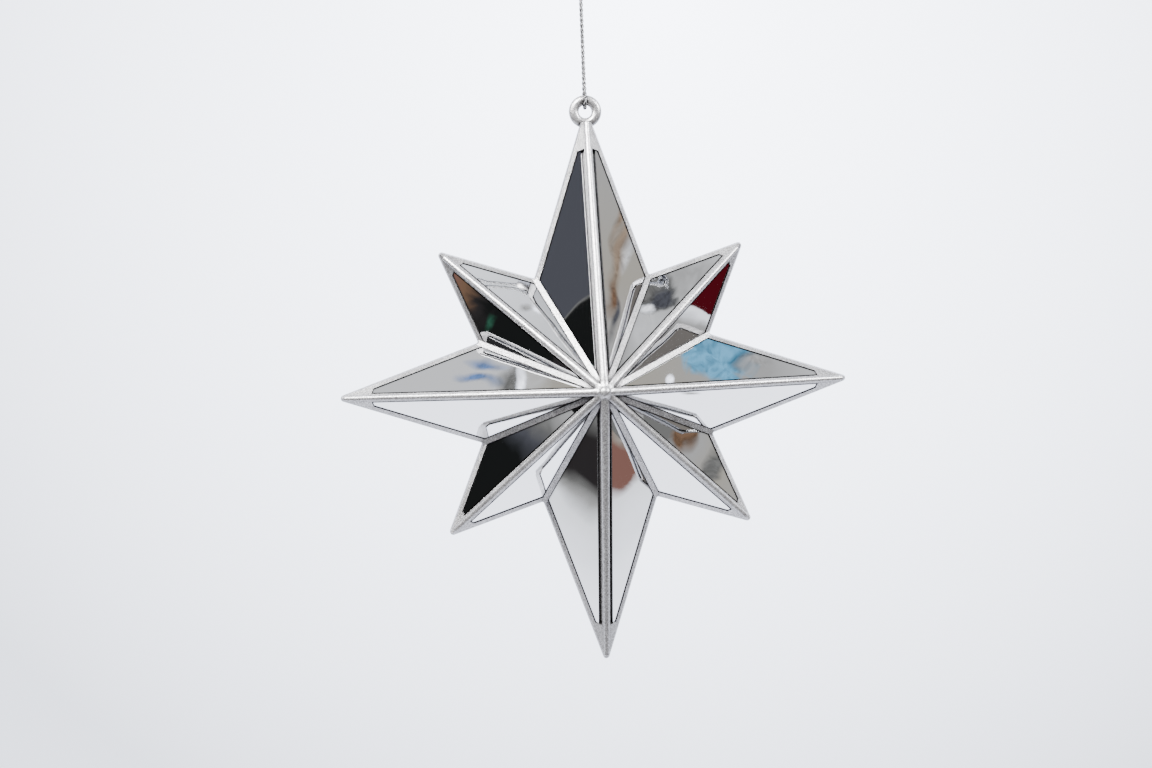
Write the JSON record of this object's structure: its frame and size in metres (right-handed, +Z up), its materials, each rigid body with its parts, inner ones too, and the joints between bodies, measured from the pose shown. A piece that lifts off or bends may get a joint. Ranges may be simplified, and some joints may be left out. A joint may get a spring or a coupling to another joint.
{
  "type": "hanging mirror star ornament",
  "caption": "Pointed star ornament with a silver ribbed frame, faceted mirror panels on both faces, a small moulded ring and a knotted metallic hanging cord.",
  "frame": {"origin": "inside top of the hanging cord's loop, just under its knot, where a hook bears", "axes": "+Z up along the cord, +X to the right seen from the front, the front face of the star looks along -Y"},
  "size_m": [0.136, 0.0568, 0.2136],
  "materials": {
    "silver_frame": "satin",
    "mirror_panel": "polished",
    "silver_cord": "satin"
  },
  "bodies": {
    "cord": {"hanging_cord": "silver_cord", "cord_knot": "silver_cord"},
    "star": {"frame_front": "silver_frame", "frame_back": "silver_frame", "front_mirror_top_ccw": "mirror_panel", "front_mirror_top_cw": "mirror_panel", "front_mirror_upper_right_ccw": "mirror_panel", "front_mirror_upper_right_cw": "mirror_panel", "front_mirror_right_ccw": "mirror_panel", "front_mirror_right_cw": "mirror_panel", "front_mirror_lower_right_ccw": "mirror_panel", "front_mirror_lower_right_cw": "mirror_panel", "front_mirror_bottom_ccw": "mirror_panel", "front_mirror_bottom_cw": "mirror_panel", "front_mirror_lower_left_ccw": "mirror_panel", "front_mirror_lower_left_cw": "mirror_panel", "front_mirror_left_ccw": "mirror_panel", "front_mirror_left_cw": "mirror_panel", "front_mirror_upper_left_ccw": "mirror_panel", "front_mirror_upper_left_cw": "mirror_panel", "back_mirror_top_ccw": "mirror_panel", "back_mirror_top_cw": "mirror_panel", "back_mirror_upper_right_ccw": "mirror_panel", "back_mirror_upper_right_cw": "mirror_panel", "back_mirror_right_ccw": "mirror_panel", "back_mirror_right_cw": "mirror_panel", "back_mirror_lower_right_ccw": "mirror_panel", "back_mirror_lower_right_cw": "mirror_panel", "back_mirror_bottom_ccw": "mirror_panel", "back_mirror_bottom_cw": "mirror_panel", "back_mirror_lower_left_ccw": "mirror_panel", "back_mirror_lower_left_cw": "mirror_panel", "back_mirror_left_ccw": "mirror_panel", "back_mirror_left_cw": "mirror_panel", "back_mirror_upper_left_ccw": "mirror_panel", "back_mirror_upper_left_cw": "mirror_panel"}
  },
  "joints": [
    {"name": "star_swing", "type": "hinge", "parent": "cord", "child": "star", "pos_m": [0, 0, -0.058], "axis": [0, 1, 0], "range_deg": [-60, 60]}
  ]
}
